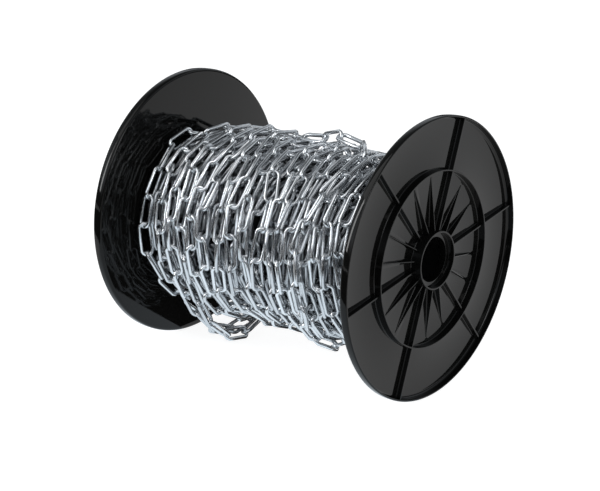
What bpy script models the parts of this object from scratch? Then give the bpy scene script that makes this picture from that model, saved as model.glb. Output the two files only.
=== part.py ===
"""Reel of zinc-plated long-link steel chain, lying on the rims of its two moulded flanges.

Metres, +Z up. The reel's axis runs along X, and the origin is on the floor below its middle.
Each flange is one moulding: plate, raised rim, ring rib, six ribs, twelve gussets and boss.
The chain is wound on the barrel: plain inner turns, and an outer layer whose links lean left
and right in turn. Three of its turns hang loose below as separate links, and so is the last run
of the chain, which lies over the layer from its top down the front.
"""

import math

import bmesh
import bpy
from mathutils import Matrix, Vector
from mathutils.bvhtree import BVHTree

# Flanges
FLANGE_RADIUS = 0.150
FLANGE_THICKNESS = 0.0098
FLANGE_SIDES = 60
PLATE_THICKNESS = 0.0018
RIM_WIDTH = 0.0020
RIM_FILLET = 0.0030
RIM_EDGE = 0.0008
RING_RIB_RADIUS = 0.0931
RING_RIB_WIDTH = 0.0016
RIB_COUNT = 6
RIB_WIDTH = 0.0016
RIB_HEIGHT = 0.0054
RIB_TURN = math.radians(21.0)
GUSSETS_BETWEEN_RIBS = 2
GUSSET_WIDTH = 0.0014
GUSSET_TIP_RADIUS = 0.086
GUSSET_TIP_HEIGHT = 0.0004
BOSS_RADIUS = 0.0309
BOSS_WALL = 0.0020
BOSS_PROUD = 0.0038
BOSS_STEP_DEPTH = 0.0062
BORE_RADIUS = 0.0236

# Barrel
BARREL_RADIUS = 0.0500
BARREL_WALL = 0.0030
BARREL_LENGTH = 0.3194
BARREL_SIDES = 36
SPIGOT_DEPTH = 0.0080
SPIGOT_WALL = 0.0025

# Chain
WIRE_DIAMETER = 0.0040
LINK_INNER_LENGTH = 0.0320
LINK_WIDTH = 0.0160
LINK_LEAN = math.radians(45.0)
WIRE_SIDES_RESOLUTION = 1
LINK_ARC_STEPS = 6

# Winding
WINDING_RADIUS = 0.1040
WINDING_SAG = 0.0060
LAYER_WALL = 0.0025
TURN_GAP = 0.0002
TURN_DEPTH = 0.0105
LEAN_DROP = 0.0078
FAR_MARGIN = 0.0187
NEAR_MARGIN = 0.0087
FAR_TAPER = 0.0060
FAR_TAPER_REACH = 0.0180
TURN_WANDER = 0.0012
LAYER_WAVES = 0.0016
CORE_SIDES = 40

# Loose turns that hang below the outer layer: which turn, half its angle and its gap to the floor
LOOSE_TURNS = (1, 2, 3)
LOOSE_LINKS = (6, 8, 8)
LOOSE_HALF_ANGLES = (math.radians(50.0), math.radians(64.0), math.radians(60.0))
LOOSE_FLOOR_GAPS = (0.0200, 0.0010, 0.0016)
LOOSE_MIDDLE = math.radians(182.0)
LOOSE_ROOM = math.radians(8.0)

# Last run of the chain: thrown across the top towards the near flange, then down the front
RUN_LINKS = 14
RUN_START = math.radians(-20.0)
RUN_X = 0.074
RUN_DRIFT = 0.0006
RUN_THROW = -0.095
RUN_THROW_REACH = math.radians(24.0)
RUN_PROUD = 0.0040
RUN_PROUD_AT = math.radians(8.0)
RUN_PROUD_REACH = math.radians(20.0)
RUN_HANG = 0.0030
RUN_HANG_AT = math.radians(165.0)
RUN_HANG_REACH = math.radians(26.0)

# Fits
SEAT = 0.0003
LINK_PLAY = 0.0010
SEAT_PASSES = 14
SEAT_PACE = 0.8
SEAT_STEP = 0.0010
JOINT_HALVINGS = 30

AXIS_HEIGHT = FLANGE_RADIUS * math.cos(math.pi / FLANGE_SIDES)
FLANGE_FACE_X = BARREL_LENGTH / 2 + SEAT
RIB_TOP = PLATE_THICKNESS + RIB_HEIGHT
SINK = AXIS_HEIGHT - WINDING_SAG
WINDING_LENGTH = BARREL_LENGTH - 2 * SEAT
LAYER_DEPTH = TURN_DEPTH + FAR_TAPER + LAYER_WALL
TURNS_LENGTH = BARREL_LENGTH - FAR_MARGIN - NEAR_MARGIN
TURN_COUNT = int(TURNS_LENGTH / (LINK_WIDTH + TURN_GAP))
TURN_PITCH = TURNS_LENGTH / TURN_COUNT
WIRE_OFFSET = (LINK_WIDTH - WIRE_DIAMETER) / 2
RIDGE_OFFSET = WIRE_OFFSET * math.cos(LINK_LEAN)
LINK_RISE = WIRE_OFFSET * math.sin(LINK_LEAN) + WIRE_DIAMETER / 2
LINK_PITCH = LINK_INNER_LENGTH - LINK_PLAY
LINKS_PER_TURN = 2 * round(math.pi * (WINDING_RADIUS - LINK_RISE) / LINK_INNER_LENGTH)


def clear_scene():
    for old in list(bpy.data.objects):
        bpy.data.objects.remove(old)


def make_collection(name):
    collection = bpy.data.collections.new(name)
    bpy.context.scene.collection.children.link(collection)
    return collection


def make_material(name, colour, metallic, roughness):
    material = bpy.data.materials.new(name)
    material.use_nodes = True
    shader = material.node_tree.nodes["Principled BSDF"]
    shader.inputs["Base Color"].default_value = (*colour, 1.0)
    shader.inputs["Metallic"].default_value = metallic
    shader.inputs["Roughness"].default_value = roughness
    return material


def add_object(name, mesh, collection, material=None):
    piece = bpy.data.objects.new(name, mesh)
    collection.objects.link(piece)
    if material:
        piece.data.materials.append(material)
    return piece


def closed_profile(name, points, collection, material):
    """A closed outline in the XZ plane, as points (radius, height), for a Screw modifier."""
    mesh = bpy.data.meshes.new(name)
    edges = [(i, (i + 1) % len(points)) for i in range(len(points))]
    mesh.from_pydata([(radius, 0.0, height) for radius, height in points], edges, [])
    return add_object(name, mesh, collection, material)


def turn_profile(piece, steps):
    screw = piece.modifiers.new("turn", "SCREW")
    screw.steps = screw.render_steps = steps
    screw.use_merge_vertices = True
    screw.merge_threshold = 0.00001
    screw.use_smooth_shade = False


def stand_on_axis(piece, side, turn):
    """Turns a piece built round +Z so that +Z points out of the reel at the given side."""
    place = Matrix.Translation((side * FLANGE_FACE_X, 0.0, AXIS_HEIGHT))
    tip = Matrix.Rotation(side * math.pi / 2, 4, "Y")
    piece.matrix_world = place @ tip @ Matrix.Rotation(turn, 4, "Z")


def flange_points():
    """The flange's section, run down its outer side, with 0 at the face that meets the barrel."""
    top = FLANGE_THICKNESS
    boss_top = top + BOSS_PROUD
    lip = FLANGE_RADIUS - RIM_WIDTH
    step = boss_top - BOSS_STEP_DEPTH
    ring_in = RING_RIB_RADIUS - RING_RIB_WIDTH / 2
    ring_out = RING_RIB_RADIUS + RING_RIB_WIDTH / 2
    spigot = BARREL_RADIUS - BARREL_WALL - SEAT
    return [
        (FLANGE_RADIUS - RIM_EDGE, top),
        (FLANGE_RADIUS, top - RIM_EDGE),
        (FLANGE_RADIUS, RIM_EDGE),
        (FLANGE_RADIUS - RIM_EDGE, 0.0),
        (spigot, 0.0),
        (spigot, -SPIGOT_DEPTH),
        (spigot - SPIGOT_WALL, -SPIGOT_DEPTH),
        (spigot - SPIGOT_WALL, 0.0),
        (BORE_RADIUS, 0.0),
        (BORE_RADIUS, step),
        (BOSS_RADIUS - BOSS_WALL, step),
        (BOSS_RADIUS - BOSS_WALL, boss_top),
        (BOSS_RADIUS, boss_top),
        (BOSS_RADIUS, PLATE_THICKNESS),
        (ring_in, PLATE_THICKNESS),
        (ring_in, top),
        (ring_out, top),
        (ring_out, PLATE_THICKNESS),
        (lip - RIM_FILLET, PLATE_THICKNESS),
        (lip, PLATE_THICKNESS + RIM_FILLET),
        (lip, top),
    ]


def add_fin(mesh, outline, width, turn):
    """A flat fin: an outline of (radius, height) points, made width thick and turned round Z."""
    spin = Matrix.Rotation(turn, 4, "Z")
    sides = []
    for y in (-width / 2, width / 2):
        sides.append([mesh.verts.new(spin @ Vector((radius, y, height))) for radius, height in outline])
    face = mesh.faces.new(sides[0])
    other = mesh.faces.new(reversed(sides[1]))
    walls = []
    for i in range(len(outline)):
        j = (i + 1) % len(outline)
        walls.append(mesh.faces.new((sides[0][j], sides[0][i], sides[1][i], sides[1][j])))
    bmesh.ops.recalc_face_normals(mesh, faces=[face, other, *walls])


def rib_cutter(name, collection):
    """The ribs and gussets that a flange is joined with, standing on its plate."""
    root = PLATE_THICKNESS / 2
    inner = BOSS_RADIUS - BOSS_WALL / 2
    outer = FLANGE_RADIUS - RIM_WIDTH / 2
    shoulder = RIB_TOP + BOSS_PROUD / 2
    tip = PLATE_THICKNESS + GUSSET_TIP_HEIGHT
    rib = [(inner, root), (outer, root), (outer, RIB_TOP), (inner, RIB_TOP)]
    gusset = [(inner, root), (GUSSET_TIP_RADIUS, root), (GUSSET_TIP_RADIUS, tip), (inner, shoulder)]
    mesh = bmesh.new()
    step = 2 * math.pi / RIB_COUNT
    for k in range(RIB_COUNT):
        add_fin(mesh, rib, RIB_WIDTH, k * step)
        for g in range(GUSSETS_BETWEEN_RIBS):
            add_fin(mesh, gusset, GUSSET_WIDTH, k * step + step * (g + 1) / (GUSSETS_BETWEEN_RIBS + 1))
    data = bpy.data.meshes.new(name)
    mesh.to_mesh(data)
    mesh.free()
    cutter = add_object(name, data, collection)
    cutter.hide_render = True
    cutter.display_type = "WIRE"
    return cutter


def make_flange(name, side, collection, cutters, material):
    flange = closed_profile(name, flange_points(), collection, material)
    turn_profile(flange, FLANGE_SIDES)
    ribs = rib_cutter(name + "_ribs", cutters)
    turn = math.pi - RIB_TURN if side > 0 else RIB_TURN
    stand_on_axis(flange, side, turn)
    stand_on_axis(ribs, side, turn)
    union = flange.modifiers.new("ribs", "BOOLEAN")
    union.operation = "UNION"
    union.solver = "EXACT"
    union.object = ribs
    return flange


def make_barrel(collection, material):
    half = BARREL_LENGTH / 2
    inner = BARREL_RADIUS - BARREL_WALL
    points = [(BARREL_RADIUS, half), (BARREL_RADIUS, -half), (inner, -half), (inner, half)]
    barrel = closed_profile("barrel", points, collection, material)
    turn_profile(barrel, BARREL_SIDES)
    tip = Matrix.Rotation(math.pi / 2, 4, "Y")
    barrel.matrix_world = Matrix.Translation((0.0, 0.0, AXIS_HEIGHT)) @ tip
    return barrel


def turn_centre(turn):
    """Place along the reel of one turn of the outer layer, counted from the far flange."""
    return -BARREL_LENGTH / 2 + FAR_MARGIN + (turn + 0.5) * TURN_PITCH


def layer_crest(x, angle):
    """Outer layer's radius over its links: a little uneven, and lower beside the far flange."""
    from_end = x + BARREL_LENGTH / 2 - FAR_MARGIN
    taper = FAR_TAPER * max(0.0, 1.0 - from_end / FAR_TAPER_REACH) ** 2
    waves = 0.5 + 0.5 * math.sin(150.0 * x + 3.0 * angle + 1.5 * math.sin(2.0 * angle))
    return WINDING_RADIUS - taper - LAYER_WAVES * waves


def hangs_loose(turn, angle):
    """Whether one turn of the outer layer is lifted off here, so that the layer shows a gap."""
    if turn not in LOOSE_TURNS:
        return False
    half = LOOSE_HALF_ANGLES[LOOSE_TURNS.index(turn)]
    return abs(angle - LOOSE_MIDDLE) < half + LOOSE_ROOM


def swept_ring(name, section, sides, collection, material):
    """A closed ring round the reel's axis, with angles run from its top down the front. section(share
    of a turn) gives its closed outline (x, radius, centre height), the outer side run from +X to -X."""
    around = [section(i / sides) for i in range(sides)]
    count = len(around[0])
    mesh = bmesh.new()
    bmesh.ops.create_grid(mesh, x_segments=count, y_segments=sides, size=0.5)
    mesh.verts.ensure_lookup_table()
    for vert in mesh.verts:
        i = round((vert.co.x + 0.5) * count)
        j = round((vert.co.y + 0.5) * sides)
        x, radius, centre = around[j % sides][i % count]
        angle = 2 * math.pi * j / sides
        vert.co = (x, -radius * math.sin(angle), centre + radius * math.cos(angle))
    bmesh.ops.remove_doubles(mesh, verts=mesh.verts, dist=0.00001)
    bmesh.ops.triangulate(mesh, faces=mesh.faces)
    bmesh.ops.recalc_face_normals(mesh, faces=mesh.faces)
    data = bpy.data.meshes.new(name)
    mesh.to_mesh(data)
    mesh.free()
    return add_object(name, data, collection, material)


def outer_section(share):
    """Section of the outer layer. Each turn has two ridges, the sides of its links, and its links
    raise the left and the right one by turns. Between the turns the layer below shows."""
    angle = 2 * math.pi * share
    half = WINDING_LENGTH / 2
    bore = WINDING_RADIUS - LAYER_DEPTH
    under = WINDING_RADIUS - TURN_DEPTH
    high_side = 1 if int(share * LINKS_PER_TURN + 0.25) % 2 else -1
    outline = [(half, under - FAR_TAPER, SINK)]
    for turn in reversed(range(TURN_COUNT)):
        middle = turn_centre(turn) + TURN_WANDER * math.sin(2.0 * angle + 1.7 * turn)
        outline.append((turn_centre(turn) + TURN_PITCH / 2, under, SINK))
        for side in (1, -1):
            x = middle + side * RIDGE_OFFSET
            top = layer_crest(x, angle) - (0.0 if side == high_side else LEAN_DROP)
            outline.append((x, under if hangs_loose(turn, angle) else top, SINK))
    outline.append((turn_centre(0) - TURN_PITCH / 2, under - FAR_TAPER / 2, SINK))
    return outline + [(-half, under - FAR_TAPER, SINK), (-half, bore, SINK), (half, bore, SINK)]


def core_section(share):
    """Section of the hidden inner turns: centred on the barrel inside, on the sagging layer outside."""
    half = WINDING_LENGTH / 2
    outer = WINDING_RADIUS - LAYER_DEPTH - SEAT
    inner = BARREL_RADIUS + SEAT
    return [(half, outer, SINK), (-half, outer, SINK),
            (-half, inner, AXIS_HEIGHT), (half, inner, AXIS_HEIGHT)]


def link_points():
    """Centre line of one link in the XY plane, its length along X, as a closed list of points."""
    bend = (LINK_WIDTH - WIRE_DIAMETER) / 2
    straight = (LINK_INNER_LENGTH + WIRE_DIAMETER) / 2 - bend
    points = []
    for end in (0, 1):
        for k in range(LINK_ARC_STEPS + 1):
            angle = -math.pi / 2 + math.pi * k / LINK_ARC_STEPS + end * math.pi
            x = straight * (1 - 2 * end) + bend * math.cos(angle)
            points.append(Vector((x, bend * math.sin(angle), 0.0)))
    return points


def loose_turn_path(number):
    """A loose turn's path: its place along the reel and its radius at an angle, over a seat radius."""
    x = turn_centre(LOOSE_TURNS[number])
    lowest = SINK - LINK_RISE - LOOSE_FLOOR_GAPS[number]

    def place(angle, seat):
        away = (angle - LOOSE_MIDDLE) / LOOSE_HALF_ANGLES[number]
        fall = math.cos(math.pi / 2 * away) ** 2 if abs(away) < 1.0 else 0.0
        return x, seat + (lowest - seat) * fall

    return place


def last_run_path(angle, seat):
    """The last run's path: its place along the reel and its radius at an angle, over a seat radius."""
    since = angle - RUN_START
    x = RUN_X - RUN_DRIFT * since + RUN_THROW * math.exp(-since / RUN_THROW_REACH)
    proud = RUN_PROUD * math.exp(-((angle - RUN_PROUD_AT) / RUN_PROUD_REACH) ** 2)
    hang = RUN_HANG * math.exp(-((angle - RUN_HANG_AT) / RUN_HANG_REACH) ** 2)
    return x, seat + proud + hang


def spot_on(path, angle, seat):
    x, radius = path(angle, seat)
    return Vector((x, -radius * math.sin(angle), SINK + radius * math.cos(angle)))


def joints_along(path, start, links, seat):
    """Joints one link apart on a path, from the start angle on."""
    angle = start
    joints = [spot_on(path, angle, seat)]
    while len(joints) <= links:
        low, high = angle, angle + 2.0 * LINK_PITCH / seat
        for _ in range(JOINT_HALVINGS):
            middle = (low + high) / 2
            if (spot_on(path, middle, seat) - joints[-1]).length < LINK_PITCH:
                low = middle
            else:
                high = middle
        angle = high
        joints.append(spot_on(path, angle, seat))
    return joints


def link_frame(first, second, lean):
    """Place and directions of a link between two joints, leaning off the winding's surface."""
    centre = (first + second) / 2
    along = (second - first).normalized()
    out = Vector((0.0, centre.y, centre.z - SINK))
    across = out.cross(along).normalized()
    out = along.cross(across)
    flat = across * math.cos(lean) + out * math.sin(lean)
    up = along.cross(flat)
    return Matrix((
        (along.x, flat.x, up.x, centre.x),
        (along.y, flat.y, up.y, centre.y),
        (along.z, flat.z, up.z, centre.z),
        (0.0, 0.0, 0.0, 1.0),
    ))


def link_frames(joints):
    pairs = zip(joints, joints[1:])
    return [link_frame(a, b, LINK_LEAN if k % 2 else -LINK_LEAN) for k, (a, b) in enumerate(pairs)]


def wire_spots():
    """Points close together on one link's centre line."""
    points = link_points()
    spots = []
    for start, end in zip(points, points[1:] + points[:1]):
        steps = max(1, round((end - start).length / SEAT_STEP))
        spots += [start.lerp(end, k / steps) for k in range(steps)]
    return spots


def seated_frames(path, start, links, layer):
    """Link frames along a path whose lowest link just clears the outer layer."""
    points = [vert.co for vert in layer.data.vertices]
    ground = BVHTree.FromPolygons(points, [tuple(face.vertices) for face in layer.data.polygons])
    spots = wire_spots()
    seat = WINDING_RADIUS + LINK_WIDTH
    for _ in range(SEAT_PASSES):
        frames = link_frames(joints_along(path, start, links, seat))
        gaps = []
        for spot in (frame @ spot for frame in frames for spot in spots):
            distance = ground.find_nearest(spot)[3]
            under = ground.ray_cast(spot, Vector((0.0, spot.y, spot.z - SINK)))[0] is not None
            gaps.append((-distance if under else distance) - WIRE_DIAMETER / 2)
        seat -= SEAT_PACE * (min(gaps) - SEAT)
    return link_frames(joints_along(path, start, links, seat))


def link_mesh(material):
    """One welded link, from a closed curve with a round wire section."""
    curve = bpy.data.curves.new("link_wire", "CURVE")
    curve.dimensions = "3D"
    curve.bevel_depth = WIRE_DIAMETER / 2
    curve.bevel_resolution = WIRE_SIDES_RESOLUTION
    points = link_points()
    spline = curve.splines.new("POLY")
    spline.points.add(len(points) - 1)
    for point, place in zip(spline.points, points):
        point.co = (*place, 1.0)
    spline.use_cyclic_u = True
    holder = bpy.data.objects.new("link_wire", curve)
    bpy.context.scene.collection.objects.link(holder)
    graph = bpy.context.evaluated_depsgraph_get()
    mesh = bpy.data.meshes.new_from_object(holder.evaluated_get(graph))
    bpy.data.objects.remove(holder)
    mesh.materials.clear()
    mesh.materials.append(material)
    return mesh


def add_links(name, mesh, frames, collection):
    for index, frame in enumerate(frames):
        link = bpy.data.objects.new(f"{name}_{index + 1:02d}", mesh)
        collection.objects.link(link)
        link.matrix_world = frame


def make_loose_links(layer, collection, material):
    """The loose turns and the last run, each link a piece of its own, laid over the outer layer."""
    mesh = link_mesh(material)
    for number, links in enumerate(LOOSE_LINKS):
        start = LOOSE_MIDDLE - LOOSE_HALF_ANGLES[number]
        frames = seated_frames(loose_turn_path(number), start, links, layer)
        add_links(f"chain_loose_{number + 1}", mesh, frames, collection)
    frames = seated_frames(last_run_path, RUN_START, RUN_LINKS, layer)
    add_links("chain_link", mesh, frames, collection)


def main():
    clear_scene()
    parts = make_collection("chain_reel")
    cutters = make_collection("chain_reel_cutters")
    black = make_material("black_plastic", (0.022, 0.022, 0.021), 0.0, 0.28)
    tube = make_material("barrel_plastic", (0.020, 0.020, 0.020), 0.0, 0.50)
    zinc = make_material("zinc_plated_steel", (0.62, 0.64, 0.67), 1.0, 0.30)
    make_flange("flange_right", 1, parts, cutters, black)
    make_flange("flange_left", -1, parts, cutters, black)
    make_barrel(parts, tube)
    swept_ring("chain_inner_turns", core_section, CORE_SIDES, parts, zinc)
    layer = swept_ring("chain_outer_turns", outer_section, 2 * LINKS_PER_TURN, parts, zinc)
    make_loose_links(layer, parts, zinc)


main()
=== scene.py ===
import math

import bmesh
import bpy
import numpy as np
from mathutils import Matrix, Vector


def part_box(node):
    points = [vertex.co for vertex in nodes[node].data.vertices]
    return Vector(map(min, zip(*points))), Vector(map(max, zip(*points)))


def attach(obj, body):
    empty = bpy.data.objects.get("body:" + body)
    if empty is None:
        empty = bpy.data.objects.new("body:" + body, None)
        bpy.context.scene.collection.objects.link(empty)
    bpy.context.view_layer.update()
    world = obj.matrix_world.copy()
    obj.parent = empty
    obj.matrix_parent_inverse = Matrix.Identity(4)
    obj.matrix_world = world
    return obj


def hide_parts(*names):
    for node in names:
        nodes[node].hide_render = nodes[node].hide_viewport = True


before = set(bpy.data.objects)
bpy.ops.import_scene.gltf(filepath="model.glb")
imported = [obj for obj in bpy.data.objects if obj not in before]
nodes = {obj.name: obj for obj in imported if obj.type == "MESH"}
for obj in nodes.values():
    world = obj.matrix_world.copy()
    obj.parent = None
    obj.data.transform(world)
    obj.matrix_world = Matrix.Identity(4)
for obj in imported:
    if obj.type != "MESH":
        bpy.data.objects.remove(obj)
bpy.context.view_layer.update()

flangeLow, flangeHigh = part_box("flange_right")
axisHeight = (flangeLow.z + flangeHigh.z) / 2
reelRadius = (flangeHigh.z - flangeLow.z) / 2
barrelGap = 0.0003  # between the barrel's end and the inner face of the flange's plate
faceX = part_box("barrel")[1].x + barrelGap
print("frame loaded, reel radius", round(reelRadius, 4))


# Camera, floor and light

camera = {
    "azimuth": 38.49,
    "elevation": 18.39,
    "distance": 2.0865,
    "lens": 115.8,
    "sensor": 36.0,
    "farClip": 100.0,
    "aimX": -0.0066,
    "aimDrop": 0.0210,  # below the reel's axis
}


def makeCamera(c):
    turn, tilt = math.radians(c["azimuth"]), math.radians(c["elevation"])
    back = Vector((math.sin(turn) * math.cos(tilt), -math.cos(turn) * math.cos(tilt), math.sin(tilt)))
    aim = Vector((c["aimX"], 0.0, axisHeight - c["aimDrop"]))
    view = bpy.data.cameras.new("view")
    view.lens = c["lens"]
    view.sensor_width = c["sensor"]
    view.clip_end = c["farClip"]
    holder = bpy.data.objects.new("view", view)
    bpy.context.scene.collection.objects.link(holder)
    holder.location = aim + back * c["distance"]
    holder.rotation_euler = back.to_track_quat("Z", "Y").to_euler()
    bpy.context.scene.camera = holder


studio = {
    "floorSize": 60.0,
    "floorDrop": 0.0004,
    "floorTone": 0.40,
    "floorRoughness": 0.9,
    "floorSheen": 0.1,
    "floorGlow": 0.90,
    # height of the direction, from level to straight up, and how bright the sky is there
    "skySteps": ((0.0, 0.05), (0.14, 0.05), (0.34, 1.0), (0.56, 0.80), (0.72, 0.24), (1.0, 0.12)),
    "skyFront": 1.24,
    "skyBack": 0.78,
    "skyTint": (0.90, 0.95, 1.0),
}


def makeFloor(s):
    bpy.ops.mesh.primitive_plane_add(size=s["floorSize"], location=(0.0, 0.0, -s["floorDrop"]))
    floor = bpy.context.object
    floor.name = "floor"
    paper = bpy.data.materials.new("floorPaper")
    paper.use_nodes = True
    shader = paper.node_tree.nodes["Principled BSDF"]
    shader.inputs["Base Color"].default_value = (s["floorTone"], s["floorTone"], s["floorTone"], 1.0)
    shader.inputs["Roughness"].default_value = s["floorRoughness"]
    shader.inputs["Specular IOR Level"].default_value = s["floorSheen"]
    shader.inputs["Emission Color"].default_value = (1.0, 1.0, 1.0, 1.0)
    shader.inputs["Emission Strength"].default_value = s["floorGlow"]
    floor.data.materials.append(paper)


def makeSky(s):
    world = bpy.data.worlds.new("studio")
    bpy.context.scene.world = world
    world.use_nodes = True
    tree = world.node_tree
    tree.nodes.clear()
    place = tree.nodes.new("ShaderNodeTexCoord")
    split = tree.nodes.new("ShaderNodeSeparateXYZ")
    tree.links.new(place.outputs["Generated"], split.inputs[0])
    rise = tree.nodes.new("ShaderNodeValToRGB")
    for number, (height, light) in enumerate(s["skySteps"]):
        stops = rise.color_ramp.elements
        stop = stops[number] if number < 2 else stops.new(height)  # a new ramp has two stops
        stop.position = height
        stop.color = (*[light * part for part in s["skyTint"]], 1.0)
    tree.links.new(split.outputs["Z"], rise.inputs[0])
    background = tree.nodes.new("ShaderNodeBackground")
    strength = tree.nodes.new("ShaderNodeMapRange")  # the sky is brighter in front than behind
    strength.inputs["From Min"].default_value = -1.0
    strength.inputs["To Min"].default_value = s["skyFront"]
    strength.inputs["To Max"].default_value = s["skyBack"]
    tree.links.new(split.outputs["Y"], strength.inputs["Value"])
    tree.links.new(strength.outputs["Result"], background.inputs["Strength"])
    tree.links.new(rise.outputs["Color"], background.inputs["Color"])
    out = tree.nodes.new("ShaderNodeOutputWorld")
    tree.links.new(background.outputs[0], out.inputs["Surface"])


# each aims at a height above the origin
softBoxes = [
    {"name": "softBoxTop", "place": (-0.5, -0.9, 2.3), "aimAt": 0.2, "size": (2.0, 1.6), "watts": 12.0},
    {"name": "softBoxLeft", "place": (-1.55, -1.95, 1.45), "aimAt": 0.15, "size": (0.32, 1.8), "watts": 17.0},
    {"name": "softBoxRight", "place": (2.4, -0.4, 1.2), "aimAt": 0.15, "size": (0.6, 1.0), "watts": 9.0},
]


def makeSoftBox(s):
    lamp = bpy.data.lights.new(s["name"], "AREA")
    lamp.shape = "RECTANGLE"
    lamp.size, lamp.size_y = s["size"]
    lamp.energy = s["watts"]
    holder = bpy.data.objects.new(s["name"], lamp)
    bpy.context.scene.collection.objects.link(holder)
    holder.location = s["place"]
    back = Vector(s["place"]) - Vector((0.0, 0.0, s["aimAt"]))
    holder.rotation_euler = back.to_track_quat("Z", "Y").to_euler()


# cards just above the floor that only reflections see, each with the light it gives off; they are painted
# reflections, and the one between the flanges is painted shadow
floorCards = [
    # dark in front of the reel: a painted dark reflection in place of the floor
    {"name": "cardFront", "low": (-2.5, -4.5), "high": (3.5, -0.42), "glow": (0.012, 0.012, 0.013)},
    # glowing bluish under the reel: a painted reflection of the floor there
    {"name": "cardUnder", "low": (-0.30, -0.42), "high": (0.34, -0.02), "glow": (0.84, 0.93, 1.00)},
    # dark between the flanges: the reel's shadow on the floor, painted into reflections
    {"name": "shadowCardBetween", "low": (-0.155, -0.02), "high": (0.155, 0.42), "glow": (0.02, 0.02, 0.02)},
]
cardHeight = 0.002


def makeFloorCard(c):
    middle = [(a + b) / 2 for a, b in zip(c["low"], c["high"])]
    bpy.ops.mesh.primitive_plane_add(size=1.0, location=(*middle, cardHeight))
    card = bpy.context.object
    card.name = c["name"]
    card.scale = (c["high"][0] - c["low"][0], c["high"][1] - c["low"][1], 1.0)
    paper = bpy.data.materials.new(c["name"])
    paper.use_nodes = True
    shader = paper.node_tree.nodes["Principled BSDF"]
    shader.inputs["Base Color"].default_value = (0.0, 0.0, 0.0, 1.0)
    shader.inputs["Roughness"].default_value = 1.0
    shader.inputs["Specular IOR Level"].default_value = 0.0
    shader.inputs["Emission Color"].default_value = (*c["glow"], 1.0)
    shader.inputs["Emission Strength"].default_value = 1.0
    card.data.materials.append(paper)
    card.visible_camera = card.visible_shadow = card.visible_diffuse = False


makeCamera(camera)
makeFloor(studio)
for floorCard in floorCards:
    makeFloorCard(floorCard)
makeSky(studio)
for softBox in softBoxes:
    makeSoftBox(softBox)
bpy.context.scene.view_settings.view_transform = "Standard"
print("camera, floor and light made")


# Finishes

def newFinish(name):
    finish = bpy.data.materials.new(name)
    finish.use_nodes = True
    tree = finish.node_tree
    return finish, tree, tree.nodes["Principled BSDF"]


def addNode(tree, kind, **values):
    node = tree.nodes.new(kind)
    for key, value in values.items():
        setattr(node, key, value)
    return node


def noiseOn(tree, place, scale, detail):
    noise = addNode(tree, "ShaderNodeTexNoise")
    noise.inputs["Scale"].default_value = scale
    noise.inputs["Detail"].default_value = detail
    tree.links.new(place, noise.inputs["Vector"])
    return noise.outputs["Fac"]


def spread(tree, value, low, high):
    node = addNode(tree, "ShaderNodeMapRange")
    node.inputs["To Min"].default_value = low
    node.inputs["To Max"].default_value = high
    tree.links.new(value, node.inputs["Value"])
    return node.outputs["Result"]


def colourBetween(tree, value, dark, light):
    mix = addNode(tree, "ShaderNodeMix", data_type="RGBA")
    mix.inputs[6].default_value = (*dark, 1.0)  # the mix node's two colours
    mix.inputs[7].default_value = (*light, 1.0)
    tree.links.new(value, mix.inputs[0])
    return mix.outputs[2]


def bumpFrom(tree, height, strength, distance):
    bump = addNode(tree, "ShaderNodeBump")
    bump.inputs["Strength"].default_value = strength
    bump.inputs["Distance"].default_value = distance
    tree.links.new(height, bump.inputs["Height"])
    return bump.outputs["Normal"]


# noises are given as (scale, detail)
plasticSkin = {
    "cloud": (14.0, 4.0),
    "cloudTones": (0.75, 1.25),
    "haze": (60.0, 5.0),
    "hazeShares": (0.8, 1.3),
    "grain": (420.0, 2.0),
    "grainStrength": 0.06,
    "grainDepth": 0.0002,
    "refraction": 1.31,
}


def makeBlackPlastic(name, rough, tone):
    skin = plasticSkin
    finish, tree, shader = newFinish(name)
    place = addNode(tree, "ShaderNodeTexCoord").outputs["Object"]
    dark, light = [[part * share for part in tone] for share in skin["cloudTones"]]
    clear, hazy = [rough * share for share in skin["hazeShares"]]
    colour = colourBetween(tree, noiseOn(tree, place, *skin["cloud"]), dark, light)
    tree.links.new(colour, shader.inputs["Base Color"])
    haze = spread(tree, noiseOn(tree, place, *skin["haze"]), clear, hazy)
    tree.links.new(haze, shader.inputs["Roughness"])
    grain = bumpFrom(tree, noiseOn(tree, place, *skin["grain"]), skin["grainStrength"], skin["grainDepth"])
    tree.links.new(grain, shader.inputs["Normal"])
    shader.inputs["IOR"].default_value = skin["refraction"]
    return finish


zincSkin = {
    "cloud": (300.0, 4.0),
    "grain": (900.0, 3.0),
    "grainStrength": 0.25,
    "grainDepth": 0.0002,
}


# each link's own tone lies between dark and light
def makeZinc(name, dark, light, rough):
    skin = zincSkin
    finish, tree, shader = newFinish(name)
    place = addNode(tree, "ShaderNodeTexCoord").outputs["Object"]
    tone = addNode(tree, "ShaderNodeAttribute", attribute_name="tone").outputs["Fac"]
    tree.links.new(colourBetween(tree, tone, dark, light), shader.inputs["Base Color"])
    cloud = spread(tree, noiseOn(tree, place, *skin["cloud"]), *rough)
    tree.links.new(cloud, shader.inputs["Roughness"])
    grain = bumpFrom(tree, noiseOn(tree, place, *skin["grain"]), skin["grainStrength"], skin["grainDepth"])
    tree.links.new(grain, shader.inputs["Normal"])
    shader.inputs["Metallic"].default_value = 1.0
    return finish


blackGloss = makeBlackPlastic("blackGlossPlastic", rough=0.05, tone=(0.0032, 0.0032, 0.003))
blackMatt = makeBlackPlastic("blackMattPlastic", rough=0.45, tone=(0.02, 0.02, 0.02))
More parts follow.
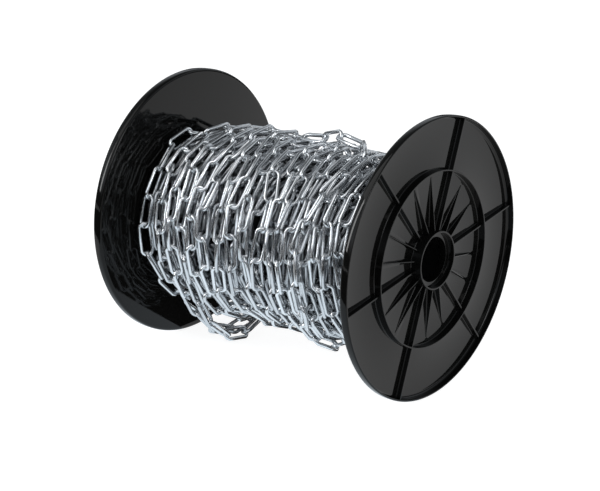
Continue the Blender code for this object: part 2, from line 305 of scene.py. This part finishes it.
# the outer layer's zinc is in its own tone; the middle and deep finishes are the same zinc darkened as
# painted shade, more so for the deep one
brightZinc = makeZinc("brightZinc", dark=(0.62, 0.64, 0.66), light=(0.86, 0.88, 0.90), rough=(0.14, 0.26))
paintedShadeZinc = makeZinc("paintedShadeZinc", dark=(0.46, 0.47, 0.49), light=(0.64, 0.66, 0.68), rough=(0.18, 0.32))
deepPaintedShadeZinc = makeZinc("deepPaintedShadeZinc", dark=(0.26, 0.27, 0.285), light=(0.42, 0.435, 0.45), rough=(0.28, 0.45))
print("finishes made")


# Geometry node trees

# starts a tree with named inputs, each (name, kind, value)
def newTree(name, inputs):
    tree = bpy.data.node_groups.new(name, "GeometryNodeTree")
    tree.interface.new_socket("Geometry", in_out="INPUT", socket_type="NodeSocketGeometry")
    for label, kind, value in inputs:
        socket = tree.interface.new_socket(label, in_out="INPUT", socket_type=kind)
        if value is not None:
            socket.default_value = value
    tree.interface.new_socket("Geometry", in_out="OUTPUT", socket_type="NodeSocketGeometry")
    return tree, tree.nodes.new("NodeGroupInput"), tree.nodes.new("NodeGroupOutput")


# sets a modifier's inputs by their sockets' identifiers
def setInputs(modifier, values):
    for item in modifier.node_group.interface.items_tree:
        if item.item_type == "SOCKET" and item.in_out == "INPUT" and item.name in values:
            modifier[item.identifier] = values[item.name]


def mathNode(tree, operation, first, second=None):
    node = addNode(tree, "ShaderNodeMath", operation=operation)
    for socket, value in zip(node.inputs, (first, second)):
        if value is None:
            continue
        if isinstance(value, (int, float)):
            socket.default_value = value
        else:
            tree.links.new(value, socket)
    return node.outputs[0]


# ends a tree with Realize Instances and Set Material
def finishTree(tree, result, material, out):
    realize = addNode(tree, "GeometryNodeRealizeInstances")
    tree.links.new(result, realize.inputs[0])
    paint = addNode(tree, "GeometryNodeSetMaterial")
    tree.links.new(realize.outputs[0], paint.inputs["Geometry"])
    tree.links.new(material, paint.inputs["Material"])
    tree.links.new(paint.outputs[0], out.inputs[0])


# the evaluated object as a plain mesh object at the origin; the holder and its modifiers are removed
def plainMesh(holder, name):
    bpy.context.view_layer.update()
    graph = bpy.context.evaluated_depsgraph_get()
    mesh = bpy.data.meshes.new_from_object(holder.evaluated_get(graph), preserve_all_data_layers=True,
                                           depsgraph=graph)
    bpy.data.objects.remove(holder)
    piece = bpy.data.objects.new(name, mesh)
    bpy.context.scene.collection.objects.link(piece)
    mesh.name = name
    return piece


fullSection = 0.55  # radius of a six-sided section as a share of the wire, for a round wire's area


# lays one link on each point, turned by the point's own along and flat directions
def linkTree():
    tree, start, out = newTree("layLinks", [
        ("innerLength", "NodeSocketFloat", 0.032),
        ("outerWidth", "NodeSocketFloat", 0.016),
        ("wire", "NodeSocketFloat", 0.004),
        ("loopSteps", "NodeSocketInt", 14),
        ("wireSides", "NodeSocketInt", 6),
        ("seed", "NodeSocketInt", 4),
        ("material", "NodeSocketMaterial", None),
    ])
    links = tree.links
    wire = start.outputs["wire"]
    bend = mathNode(tree, "MULTIPLY", mathNode(tree, "SUBTRACT", start.outputs["outerWidth"], wire), 0.5)
    reach = mathNode(tree, "MULTIPLY", mathNode(tree, "ADD", start.outputs["innerLength"], wire), 0.5)
    straight = mathNode(tree, "SUBTRACT", reach, bend)  # half the length of a link's straight side
    # a circle's two halves move apart along X, so that a link with round ends is left
    loop = addNode(tree, "GeometryNodeCurvePrimitiveCircle")
    links.new(start.outputs["loopSteps"], loop.inputs["Resolution"])
    links.new(bend, loop.inputs["Radius"])
    place = addNode(tree, "ShaderNodeSeparateXYZ")
    links.new(addNode(tree, "GeometryNodeInputPosition").outputs[0], place.inputs[0])
    side = mathNode(tree, "SIGN", place.outputs["X"])
    shifted = mathNode(tree, "ADD", place.outputs["X"], mathNode(tree, "MULTIPLY", side, straight))
    # the circle's straight steps fall short of its width, so they are stretched to it
    widen = mathNode(tree, "COSINE", mathNode(tree, "DIVIDE", math.pi, start.outputs["loopSteps"]))
    moved = addNode(tree, "ShaderNodeCombineXYZ")
    links.new(shifted, moved.inputs["X"])
    links.new(mathNode(tree, "DIVIDE", place.outputs["Y"], widen), moved.inputs["Y"])
    stretch = addNode(tree, "GeometryNodeSetPosition")
    links.new(loop.outputs["Curve"], stretch.inputs["Geometry"])
    links.new(moved.outputs[0], stretch.inputs["Position"])
    section = addNode(tree, "GeometryNodeCurvePrimitiveCircle")
    links.new(start.outputs["wireSides"], section.inputs["Resolution"])
    links.new(mathNode(tree, "MULTIPLY", wire, fullSection), section.inputs["Radius"])
    sweep = addNode(tree, "GeometryNodeCurveToMesh")
    links.new(stretch.outputs[0], sweep.inputs["Curve"])
    links.new(section.outputs["Curve"], sweep.inputs["Profile Curve"])
    smooth = addNode(tree, "GeometryNodeSetShadeSmooth")
    links.new(sweep.outputs[0], smooth.inputs["Geometry"])
    turn = addNode(tree, "FunctionNodeAxesToRotation", primary_axis="X", secondary_axis="Y")
    for label, socket in (("along", 0), ("flat", 1)):
        read = addNode(tree, "GeometryNodeInputNamedAttribute", data_type="FLOAT_VECTOR")
        read.inputs["Name"].default_value = label
        links.new(read.outputs["Attribute"], turn.inputs[socket])
    lay = addNode(tree, "GeometryNodeInstanceOnPoints")
    links.new(start.outputs["Geometry"], lay.inputs["Points"])
    links.new(smooth.outputs[0], lay.inputs["Instance"])
    links.new(turn.outputs[0], lay.inputs["Rotation"])
    tone = addNode(tree, "GeometryNodeStoreNamedAttribute", data_type="FLOAT", domain="INSTANCE")
    tone.inputs["Name"].default_value = "tone"
    chance = addNode(tree, "FunctionNodeRandomValue", data_type="FLOAT")
    links.new(start.outputs["seed"], chance.inputs["Seed"])
    links.new(lay.outputs[0], tone.inputs["Geometry"])
    links.new(chance.outputs[1], tone.inputs["Value"])
    finishTree(tree, tone.outputs[0], start.outputs["material"], out)
    return tree


# Flanges: one moulding each, with plate, rim, ring rib, six ribs, twelve gussets and boss

flangeShape = {
    "thickness": 0.0098,
    "plate": 0.0018,
    "rimWidth": 0.0020,
    "rimFillet": 0.0034,
    "rimEdge": 0.0012,
    "rimRound": 0.0032,
    "ringRadius": 0.0931,
    "ringWidth": 0.0015,
    "ribCount": 6,
    "ribWidth": 0.0018,
    "ribTop": 0.0072,
    "ribTurn": 21.0,
    "gussetWidth": 0.0012,
    "gussetTip": 0.086,
    "gussetTipHeight": 0.0003,
    "bossRadius": 0.0309,
    "bossWall": 0.0018,
    "bossProud": 0.0038,
    "bossStep": 0.0062,
    "bore": 0.0236,
    "spigot": 0.0467,
    "spigotWall": 0.0025,
    "spigotDepth": 0.0080,
    "fillet": 0.0012,
    "edge": 0.0003,
    "footShare": 0.6,  # a low fin's fillet and edge are held to these shares of its height
    "edgeShare": 0.3,
    "footSpill": 1.001,  # width of the fin's foot, against its fillet
    "footDepth": 0.0006,  # how deep the foot goes into the plate
    "gussetSteps": 8,
    "placesPerRib": 3,  # a rib, then two gussets
    "steps": 180,  # round the axis
    "arcSteps": 4,
    "weld": 0.00001,  # points nearer than this become one
    "sharpAngle": 32.0,
}


# a closed outline with each corner (x, y, radius) turned into an arc
def roundedOutline(corners, steps):
    points = []
    count = len(corners)
    for i, (x, y, radius) in enumerate(corners):
        here = Vector((x, y))
        if radius <= 0.0:
            points.append(here)
            continue
        before = (Vector(corners[i - 1][:2]) - here).normalized()
        after = (Vector(corners[(i + 1) % count][:2]) - here).normalized()
        half = before.angle(after) / 2
        reach = radius / math.tan(half)
        middle = here + (before + after).normalized() * radius / math.sin(half)
        first, last = here + before * reach - middle, here + after * reach - middle
        sweep = first.angle_signed(last)
        for k in range(steps + 1):
            turn = -sweep * k / steps
            spot = Vector((first.x * math.cos(turn) - first.y * math.sin(turn),
                           first.x * math.sin(turn) + first.y * math.cos(turn)))
            points.append(middle + spot)
    return points


# the flange's section as (distance from the axis, height off the inner face)
def flangeOutline(f):
    top, plate, edge, fillet = f["thickness"], f["plate"], f["edge"], f["fillet"]
    bossTop = top + f["bossProud"]
    step = bossTop - f["bossStep"]
    bossInner = f["bossRadius"] - f["bossWall"]
    ringInner = f["ringRadius"] - f["ringWidth"] / 2
    ringOuter = f["ringRadius"] + f["ringWidth"] / 2
    lip = reelRadius - f["rimWidth"]
    spigotInner = f["spigot"] - f["spigotWall"]
    return roundedOutline([
        (reelRadius, top, f["rimEdge"]),
        (reelRadius, 0.0, f["rimRound"]),
        (f["spigot"], 0.0, 0.0),
        (f["spigot"], -f["spigotDepth"], edge),
        (spigotInner, -f["spigotDepth"], edge),
        (spigotInner, 0.0, 0.0),
        (f["bore"], 0.0, edge),
        (f["bore"], step, edge),
        (bossInner, step, edge),
        (bossInner, bossTop, edge),
        (f["bossRadius"], bossTop, edge),
        (f["bossRadius"], plate, fillet),
        (ringInner, plate, fillet),
        (ringInner, top, edge),
        (ringOuter, top, edge),
        (ringOuter, plate, fillet),
        (lip, plate, f["rimFillet"]),
        (lip, top, edge),
    ], f["arcSteps"])


def turnedBody(f):
    outline = flangeOutline(f)
    mesh = bpy.data.meshes.new("flangeTurned")
    edges = [(i, (i + 1) % len(outline)) for i in range(len(outline))]
    mesh.from_pydata([(p.x, 0.0, p.y) for p in outline], edges, [])
    holder = bpy.data.objects.new("flangeTurned", mesh)
    bpy.context.scene.collection.objects.link(holder)
    screw = holder.modifiers.new("turn", "SCREW")
    screw.steps = screw.render_steps = f["steps"]
    screw.use_merge_vertices = True
    screw.merge_threshold = f["weld"]
    return holder


# a fin along +X with a filleted foot and rounded top edges, topAt(share) high
def finMesh(f, width, first, last, topAt, stations):
    mesh = bmesh.new()
    plate = f["plate"]
    rings = []
    for k in range(stations + 1):
        share = k / stations
        radius = first + (last - first) * share
        top = topAt(share)
        foot = min(f["fillet"], (top - plate) * f["footShare"])
        edge = min(f["edge"], (top - plate) * f["edgeShare"])
        half = width / 2
        side = half + foot * f["footSpill"]
        outline = roundedOutline([
            (-side, plate - f["footDepth"], 0.0),
            (side, plate - f["footDepth"], 0.0),
            (side, plate, 0.0),
            (half, plate, foot),
            (half, top, edge),
            (-half, top, edge),
            (-half, plate, foot),
            (-side, plate, 0.0),
        ], f["arcSteps"])
        rings.append([mesh.verts.new((radius, p.x, p.y)) for p in outline])
    for low, high in zip(rings, rings[1:]):
        for i in range(len(low)):
            j = (i + 1) % len(low)
            mesh.faces.new((low[i], low[j], high[j], high[i]))
    mesh.faces.new(reversed(rings[0]))
    mesh.faces.new(rings[-1])
    bmesh.ops.recalc_face_normals(mesh, faces=mesh.faces)
    data = bpy.data.meshes.new("fin")
    mesh.to_mesh(data)
    mesh.free()
    return data


# repeats a fin round +Z, leaving out every skip-th place when skip is over 1
def finTree():
    tree, start, out = newTree("ringOfFins", [
        ("count", "NodeSocketInt", 6),
        ("skip", "NodeSocketInt", 0),
        ("material", "NodeSocketMaterial", None),
    ])
    links = tree.links
    line = addNode(tree, "GeometryNodeMeshLine", mode="OFFSET")
    line.inputs["Offset"].default_value = (0.0, 0.0, 0.0)
    links.new(start.outputs["count"], line.inputs["Count"])
    index = addNode(tree, "GeometryNodeInputIndex").outputs[0]
    turn = mathNode(tree, "DIVIDE", mathNode(tree, "MULTIPLY", index, 2 * math.pi), start.outputs["count"])
    rotation = addNode(tree, "ShaderNodeCombineXYZ")
    links.new(turn, rotation.inputs["Z"])
    kept = mathNode(tree, "GREATER_THAN", mathNode(tree, "MODULO", index, start.outputs["skip"]), 0.5)
    free = mathNode(tree, "LESS_THAN", start.outputs["skip"], 1.5)
    lay = addNode(tree, "GeometryNodeInstanceOnPoints")
    links.new(line.outputs[0], lay.inputs["Points"])
    links.new(mathNode(tree, "MAXIMUM", kept, free), lay.inputs["Selection"])
    links.new(start.outputs["Geometry"], lay.inputs["Instance"])
    links.new(rotation.outputs[0], lay.inputs["Rotation"])
    finishTree(tree, lay.outputs[0], start.outputs["material"], out)
    return tree


def ringOfFins(tree, mesh, count, skip):
    holder = bpy.data.objects.new("fins", mesh)
    bpy.context.scene.collection.objects.link(holder)
    modifier = holder.modifiers.new("ringOfFins", "NODES")
    modifier.node_group = tree
    setInputs(modifier, {"count": count, "skip": skip, "material": blackGloss})
    return plainMesh(holder, "fins")


def makeFlangeMesh(f):
    tip = f["plate"] + f["gussetTipHeight"]
    root = f["bossRadius"] - f["bossWall"] / 2
    shoulder = f["ribTop"] + f["bossProud"] / 2
    tree = finTree()
    rib = finMesh(f, f["ribWidth"], root, reelRadius - f["rimWidth"] / 2,
                  lambda share: f["ribTop"], 1)
    gusset = finMesh(f, f["gussetWidth"], root, f["gussetTip"],
                     lambda share: shoulder + (tip - shoulder) * share, f["gussetSteps"])
    places = f["placesPerRib"] * f["ribCount"]
    fins = [ringOfFins(tree, rib, f["ribCount"], 0), ringOfFins(tree, gusset, places, f["placesPerRib"])]
    body = turnedBody(f)
    for part in fins:
        union = body.modifiers.new("union", "BOOLEAN")
        union.operation = "UNION"
        union.solver = "EXACT"
        union.object = part
    joined = plainMesh(body, "flangeJoined")
    for part in fins:
        bpy.data.objects.remove(part)
    return joined


def makeFlanges(f):
    pattern = makeFlangeMesh(f)
    for name, side in (("flange_right", 1), ("flange_left", -1)):
        mesh = pattern.data.copy()
        spin = math.pi - math.radians(f["ribTurn"]) if side > 0 else math.radians(f["ribTurn"])
        place = Matrix.Translation((side * faceX, 0.0, axisHeight))
        mesh.transform(place @ Matrix.Rotation(side * math.pi / 2, 4, "Y") @ Matrix.Rotation(spin, 4, "Z"))
        mesh.materials.clear()
        mesh.materials.append(blackGloss)
        mesh.shade_smooth()
        mesh.set_sharp_from_angle(angle=math.radians(f["sharpAngle"]))
        piece = bpy.data.objects.new(name + "_moulding", mesh)
        bpy.context.scene.collection.objects.link(piece)
        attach(piece, "root")
        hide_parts(name)
        print(piece.name, len(mesh.polygons), "faces")
    bpy.data.objects.remove(pattern)


makeFlanges(flangeShape)
print("flanges made")


# The chain: wound in layers, then let settle so that its wires lie on each other (sizes in mm)

winding = {
    "seed": 11,
    "wire": 4.0,
    "innerLength": 32.0,
    "outerWidth": 16.0,
    "sag": 6.0,
    # how far the turns stray from even ones, each with the links from one swing to the next
    "wander": 3.4,
    "wanderStep": 6.3,
    "lift": 1.8,
    "liftStep": 3.1,
    "phase": 3.6,  # hundredths of a radian
    "phaseStep": 13.0,
    "runFreedom": 0.3,  # how far the last run strays, against the other turns
    # each link's roll about its own length, in degrees
    "lean": 45.0,
    "rollSpread": 12.0,
    "twist": 22.0,
    "twistStep": 11.0,
    "upright": 50.0,  # added round uprightAngle, so that every second link stands on edge there
    "uprightAngle": 72.0,
    "uprightSpread": 72.0,
    # settling: which links and wires are watched, and how they are moved apart
    "passes": 100,
    "searchEvery": 10,
    "linkReach": 39.0,  # between the middles of two links
    "wireReach": 2.0,  # between two wires
    "pushShare": 0.5,
    "pushGain": 1.5,
    "moveGain": 1.2,
    "turnArm": 20.0,  # a larger one turns the links less
    # what holds the chain together while it settles
    "neighbourPlay": 0.6,
    "neighbourPull": 0.3,
    "layerPull": 0.06,
    "slack": 1.6,
    "stretchRounds": 2,
    "flangeGap": 0.5,
    "floorGap": 0.3,
}
small = 1e-6  # keeps divisions off zero

# each layer holds about a whole number of links a turn, so its links stand in rows along the reel; the inner
# layers' finishes carry painted shade, darker the deeper the layer
chainLayers = [
    {"name": "chain_turns_core", "linksPerTurn": 13, "turns": 18, "left": -150.0, "right": 150.0,
     "taper": 0.0, "loose": False, "loopSteps": 10, "wireSides": 6, "finish": deepPaintedShadeZinc},
    {"name": "chain_turns_deep", "linksPerTurn": 15, "turns": 18, "left": -150.0, "right": 150.0,
     "taper": 0.0, "loose": False, "loopSteps": 10, "wireSides": 6, "finish": deepPaintedShadeZinc},
    {"name": "chain_turns_middle", "linksPerTurn": 17, "turns": 19, "left": -148.0, "right": 150.0,
     "taper": 3.0, "loose": False, "loopSteps": 12, "wireSides": 6, "finish": paintedShadeZinc},
    {"name": "chain_turns_outer", "linksPerTurn": 19.1, "turns": 18, "left": -142.0, "right": 150.0,
     "taper": 7.0, "loose": True, "loopSteps": 14, "wireSides": 6, "finish": brightZinc},
]
taperReach = 16.0  # length at a layer's left end over which its radius shrinks by its taper

# loose stretches of the outer layer: turn counted from the far flange, angle from the top towards the
# front, height off the layer and spread of the angle
looseTurns = [
    {"turn": 0, "angle": 70.0, "height": 1.5, "spread": 30.0},
    {"turn": 1, "angle": 182.0, "height": 19.0, "spread": 50.0},
    {"turn": 2, "angle": 182.0, "height": 39.0, "spread": 64.0},
    {"turn": 3, "angle": 182.0, "height": 40.0, "spread": 62.0},
    {"turn": 4, "angle": 168.0, "height": 14.0, "spread": 50.0},
    {"turn": 5, "angle": -8.0, "height": 10.0, "spread": 30.0},
    {"turn": 8, "angle": 70.0, "height": 4.0, "spread": 40.0},
    {"turn": 12, "angle": 75.0, "height": 4.0, "spread": 45.0},
    {"turn": 15, "angle": 12.0, "height": 4.0, "spread": 20.0},
]

# the chain's last links: along the top towards the near flange, then down the front (place along the
# reel, radius and angle of points that the path is drawn through)
lastRun = {
    "name": "chain_last_run",
    "links": 14,
    "through": [(-24.0, 97.0, -9.0), (10.0, 97.0, -7.0), (42.0, 105.0, -5.0), (64.0, 103.0, -4.0),
                (88.0, 103.0, 0.0), (92.0, 105.0, 14.0), (80.0, 107.0, 40.0), (66.0, 108.0, 68.0),
                (74.0, 107.0, 100.0), (74.0, 106.0, 125.0), (74.0, 107.0, 150.0), (74.0, 108.0, 172.0),
                (74.0, 106.0, 200.0), (74.0, 106.0, 240.0)],
    "steps": 60,  # between two of the points
    "loopSteps": 14,
    "wireSides": 6,
    "finish": brightZinc,
}


# one value a link, from random knots every step links, eased between them
def smoothNoise(rng, count, step):
    knots = rng.normal(0.0, 1.0, int(count / step) + 4)
    at = np.arange(count) / step
    low = at.astype(int)
    share = at - low
    share = share * share * (3 - 2 * share)
    return knots[low] * (1 - share) + knots[low + 1] * share


# how far the outer layer stands off here, with degrees counted on through its turns
def looseHeight(degrees):
    height = 0.0
    for turn in looseTurns:
        away = degrees - 360.0 * turn["turn"] - turn["angle"]
        if abs(away) < turn["spread"]:
            height += turn["height"] * math.cos(math.pi / 2 * away / turn["spread"]) ** 2
    return height


# joints of one layer as (x, radius, angle, layer), a link's length apart, and the angle it ends at
def layLayer(w, layer, number, angle):
    radius = w["innerLength"] / 2 / math.sin(math.pi / layer["linksPerTurn"])
    first, total = angle, 2 * math.pi * layer["turns"]
    wholeTurns = 2 * math.pi * math.floor(first / (2 * math.pi))
    joints = []
    while angle - first < total:
        share = (angle - first) / total
        share = share if number % 2 else 1 - share  # every other layer runs the other way
        x = layer["left"] + (layer["right"] - layer["left"]) * share
        drop = layer["taper"] * max(0.0, 1 - (x - layer["left"]) / taperReach) ** 2
        off = looseHeight(math.degrees(angle - wholeTurns)) if layer["loose"] else 0.0
        here = radius - drop + off
        joints.append((x, here, angle, number))
        angle += 2 * math.asin(w["innerLength"] / 2 / here)
    return joints, angle


# joints a link apart on an eased line through the run's points
def layLastRun(w, r):
    points = np.array([r["through"][0], *r["through"], r["through"][-1]])
    spots = []
    for before, here, there, after in zip(points, points[1:], points[2:], points[3:]):
        for t in np.linspace(0, 1, r["steps"], endpoint=False):
            pull = (here - before) * t * (1 - t) ** 2 - (after - there) * t * t * (1 - t)
            swing = pull + (there - here) * t * (1 - t) * (1 - 2 * t)
            spots.append(here + (there - here) * (3 - 2 * t) * t * t + swing / 2)
    joints, last = [], None
    for x, radius, degrees in spots:
        turn = math.radians(degrees)
        spot = np.array([x, -radius * math.sin(turn), radius * math.cos(turn)])
        if last is None or np.linalg.norm(spot - last) >= w["innerLength"]:
            joints.append((x, radius, turn, len(chainLayers)))
            last = spot
    return joints[:r["links"] + 1]


# joints of the whole chain: place along the reel, radius, angle and layer
def layPath(w):
    joints, angle = [], 0.0
    for number, layer in enumerate(chainLayers):
        laid, angle = layLayer(w, layer, number, angle)
        joints += laid
    return np.array(joints + layLastRun(w, lastRun)).T


# the chain before it settles: its joints, each link's roll, and each joint's radius and layer
def windChain(w):
    rng = np.random.default_rng(w["seed"])
    xs, radii, angles, layers = layPath(w)
    count = len(radii)
    links = count - 1
    free = np.where(layers == len(chainLayers), w["runFreedom"], 1.0)
    xs = xs + w["wander"] * free * smoothNoise(rng, count, w["wanderStep"])
    radii = radii + w["lift"] * free * smoothNoise(rng, count, w["liftStep"])
    angles = angles + w["phase"] / 100.0 * free * smoothNoise(rng, count, w["phaseStep"])
    joints = np.stack([xs, -radii * np.sin(angles), radii * np.cos(angles)], 1)
    lean = np.where(np.arange(links) % 2, w["lean"], -w["lean"])
    lean = lean + w["rollSpread"] * rng.normal(0, 1, links)
    lean = lean + w["twist"] * smoothNoise(rng, links, w["twistStep"])
    around = (np.degrees(angles[:-1]) - w["uprightAngle"] + 180.0) % 360.0 - 180.0
    lean = lean + w["upright"] * np.exp(-(around / w["uprightSpread"]) ** 2)
    return joints, np.radians(lean), radii, layers


# one link's centre line as straight segments, (along, across) from its middle: their starts and ends
def linkOutline(w):
    bend = (w["outerWidth"] - w["wire"]) / 2
    straight = (w["innerLength"] + w["wire"]) / 2 - bend
    loop = []
    for end in (1, -1):
        for degree in (-90, -30, 30, 90):
            turn = math.radians(degree)
            loop.append((end * (straight + bend * math.cos(turn)), end * bend * math.sin(turn)))
    loop = np.array(loop)
    return loop, np.roll(loop, -1, axis=0)


# each link's middle, its direction along the chain and the direction across its eye
def linkAxes(joints, roll):
    centre = (joints[:-1] + joints[1:]) / 2
    along = joints[1:] - joints[:-1]
    along = along / np.linalg.norm(along, axis=1, keepdims=True)
    out = centre * np.array([0.0, 1.0, 1.0])
    out -= (out * along).sum(1, keepdims=True) * along
    out /= np.linalg.norm(out, axis=1, keepdims=True)
    flat = np.cross(out, along) * np.cos(roll)[:, None] + out * np.sin(roll)[:, None]
    return centre, along, flat


# the starts and ends of every link's segments, link after link
def linkSegments(outlines, centre, along, flat):
    ends = []
    for outline in outlines:
        spots = centre[:, None] + along[:, None] * outline[None, :, :1]
        spots = spots + flat[:, None] * outline[None, :, 1:]
        ends.append(spots.reshape(-1, 3))
    return ends


# where two segments, p to p + u and q to q + v, come closest, as a share of each
def closestShares(p, u, q, v):
    w = p - q
    a, b, c = (u * u).sum(1), (u * v).sum(1), (v * v).sum(1)
    d, e = (u * w).sum(1), (v * w).sum(1)
    spread = a * c - b * b
    s = np.clip(np.where(spread > small, (b * e - c * d) / np.maximum(spread, small), 0.5), 0, 1)
    t = np.clip((b * s + e) / c, 0, 1)
    return np.clip((b * t - d) / a, 0, 1), t


# pairs of segments on different links that are close enough to meet soon
def nearSegments(w, centre, start, end, isLink):
    sides = len(start) // len(centre)
    gap = sum((centre[:, None, k] - centre[None, :, k]) ** 2 for k in range(3))
    i, j = np.nonzero(np.triu(gap < w["linkReach"] ** 2, 2))
    first = np.repeat(i[:, None] * sides + np.arange(sides), sides, axis=1).ravel()
    second = np.tile(j[:, None] * sides + np.arange(sides), (1, sides)).ravel()
    middle = (start + end) / 2
    half = np.linalg.norm(end - start, axis=1) / 2
    reach = w["wire"] + w["wireReach"]
    near = ((middle[first] - middle[second]) ** 2).sum(1) < (half[first] + half[second] + reach) ** 2
    first, second = first[near], second[near]
    kept = isLink[first // sides] & isLink[second // sides]
    return first[kept], second[kept]


# where wires cut into each other: (link, spot, shift) for the links of the first and second segments
def findPushes(w, sides, start, end, first, second):
    p, u = start[first], end[first] - start[first]
    q, v = start[second], end[second] - start[second]
    s, t = closestShares(p, u, q, v)
    firstSpot, secondSpot = p + u * s[:, None], q + v * t[:, None]
    apart = firstSpot - secondSpot
    distance = np.linalg.norm(apart, axis=1)
    hit = distance < w["wire"]
    push = apart[hit] / np.maximum(distance[hit], small)[:, None]
    push = push * (w["wire"] - distance[hit])[:, None] * w["pushShare"]
    return ((first[hit] // sides, firstSpot[hit], push), (second[hit] // sides, secondSpot[hit], -push))


# moves the joints and turns the links by the mean of the pushes on each
def pushLinks(w, joints, roll, centre, along, pushes):
    count, links = len(joints), len(roll)
    move, weight = np.zeros((count, 3)), np.zeros(count)
    turn, hits = np.zeros(links), np.zeros(links)
    for link, spot, shift in pushes:
        arm = spot - centre[link]
        reach = (arm * along[link]).sum(1)
        share = np.clip(reach / w["innerLength"] + 0.5, 0, 1)
        for k in range(3):
            move[:, k] += np.bincount(link, shift[:, k] * (1 - share) * w["pushGain"], count)
            move[:, k] += np.bincount(link + 1, shift[:, k] * share * w["pushGain"], count)
        weight += np.bincount(link, 1 - share, count) + np.bincount(link + 1, share, count)
        side = arm - reach[:, None] * along[link]
        torque = (np.cross(side, shift) * along[link]).sum(1) / w["turnArm"]
        turn -= np.bincount(link, torque, links)
        hits += np.bincount(link, None, links)
    joints += w["moveGain"] * move / np.maximum(weight, 1.0)[:, None]
    roll += turn / np.maximum(hits, 1.0)


# neighbours in the chain stay roughly crosswise
def keepCrosswise(w, roll, crosswise):
    off = roll[1:] - roll[:-1] - crosswise
    over = off - np.clip(off, -w["neighbourPlay"], w["neighbourPlay"])
    roll[1:] -= over * w["neighbourPull"]
    roll[:-1] += over * w["neighbourPull"]


# each layer keeps its radius softly, and stays off the flanges and the floor
def keepOnReel(w, joints, radii):
    endReach = faceX * 1000 - w["outerWidth"] / 2 - w["flangeGap"]
    floorLevel = w["sag"] - axisHeight * 1000 + w["outerWidth"] / 2 * math.sin(math.pi / 4)
    floorLevel = floorLevel + w["wire"] / 2 + w["floorGap"]
    radius = np.hypot(joints[:, 1], joints[:, 2])
    joints[:, 1:] *= (1 + w["layerPull"] * (radii - radius) / radius)[:, None]
    joints[:, 0] = np.clip(joints[:, 0], -endReach, endReach)
    joints[:, 2] = np.maximum(joints[:, 2], floorLevel)


# joints that follow each other stay a link's inner length apart, or up to the slack less
def keepLength(w, joints, isLink):
    count, pitch = len(joints), w["innerLength"]
    for odd in (0, 1):
        a, b = joints[odd:count - 1:2], joints[odd + 1:count:2]
        line = b - a
        length = np.linalg.norm(line, axis=1)
        fix = line * ((length - np.clip(length, pitch - w["slack"], pitch)) / length / 2)[:, None]
        fix[~isLink[odd::2][:len(fix)]] = 0.0
        joints[odd:count - 1:2] += fix
        joints[odd + 1:count:2] -= fix


# the settled chain: its joints, each link's roll, and each link's layer or -1 where there is none
def settleChain(w):
    joints, roll, radii, layers = windChain(w)
    # the last run isn't hooked to the layers, so the step between them is no link
    isLink = ~((layers[1:] == len(chainLayers)) & (layers[:-1] < len(chainLayers)))
    crosswise = np.radians(90.0) * np.where(np.arange(len(roll) - 1) % 2, -1, 1)
    outlines = linkOutline(w)
    sides = len(outlines[0])
    for step in range(w["passes"]):
        centre, along, flat = linkAxes(joints, roll)
        start, end = linkSegments(outlines, centre, along, flat)
        if step % w["searchEvery"] == 0:
            first, second = nearSegments(w, centre, start, end, isLink)
        pushes = findPushes(w, sides, start, end, first, second)
        pushLinks(w, joints, roll, centre, along, pushes)
        keepCrosswise(w, roll, crosswise)
        keepOnReel(w, joints, radii)
        for stretchRound in range(w["stretchRounds"]):
            keepLength(w, joints, isLink)
    return joints, roll, np.where(isLink, layers[1:], -1).astype(int)


def makeChain(w):
    joints, roll, layers = settleChain(w)
    centre, along, flat = linkAxes(joints, roll)
    place = centre / 1000 + np.array([0.0, 0.0, axisHeight - w["sag"] / 1000])
    tree = linkTree()
    pieces = []
    for number, layer in enumerate(chainLayers + [lastRun]):
        name = layer["name"]
        mine = layers == number
        cloud = bpy.data.meshes.new(name)
        cloud.from_pydata([tuple(p) for p in place[mine]], [], [])
        for label, value in (("along", along[mine]), ("flat", flat[mine])):
            store = cloud.attributes.new(label, "FLOAT_VECTOR", "POINT")
            store.data.foreach_set("vector", value.astype(np.float32).ravel())
        holder = bpy.data.objects.new(name + "_points", cloud)
        bpy.context.scene.collection.objects.link(holder)
        modifier = holder.modifiers.new("layLinks", "NODES")
        modifier.node_group = tree
        setInputs(modifier, {
            "innerLength": w["innerLength"] / 1000,
            "outerWidth": w["outerWidth"] / 1000,
            "wire": w["wire"] / 1000,
            "loopSteps": layer["loopSteps"],
            "wireSides": layer["wireSides"],
            "seed": w["seed"] + number,
            "material": layer["finish"],
        })
        piece = plainMesh(holder, name)
        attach(piece, "root")
        pieces.append(piece)
        print(name, int(mine.sum()), "links,", len(piece.data.polygons), "faces")
    return pieces


coreTurns, deepTurns, middleTurns, outerTurns, lastLinks = makeChain(winding)
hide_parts("chain_outer_turns", *[n for n in nodes if n.startswith("chain_loose_")])
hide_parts(*[n for n in nodes if n.startswith("chain_link_")])
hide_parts("chain_inner_turns")
print("chain made")

# The barrel: its solid as it is, in matt plastic

nodes["barrel"].data.materials.clear()
nodes["barrel"].data.materials.append(blackMatt)
print("barrel painted")
